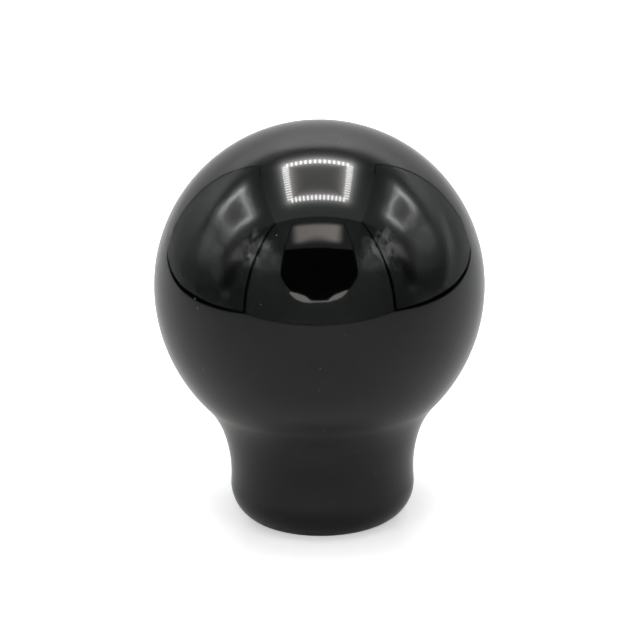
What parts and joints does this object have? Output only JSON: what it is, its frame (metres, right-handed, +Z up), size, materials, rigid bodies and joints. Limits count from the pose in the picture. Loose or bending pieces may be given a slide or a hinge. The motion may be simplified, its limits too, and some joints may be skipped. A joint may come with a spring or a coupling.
{
  "type": "gear shift knob",
  "caption": "Glossy black ball-shaped gear shift knob on a short waisted neck with a rounded foot and a tapped hole in its base for the lever's stud.",
  "frame": {"origin": "centre of the base face, where the knob's axis meets the surface it stands on", "axes": "+Z up along the knob's axis, from the base to the top of the ball; X and Y are free about the axis"},
  "size_m": [0.05, 0.05, 0.062],
  "materials": {
    "gloss_black_coat": "gloss"
  },
  "bodies": {
    "root": {"knob_body": "gloss_black_coat"}
  },
  "joints": []
}
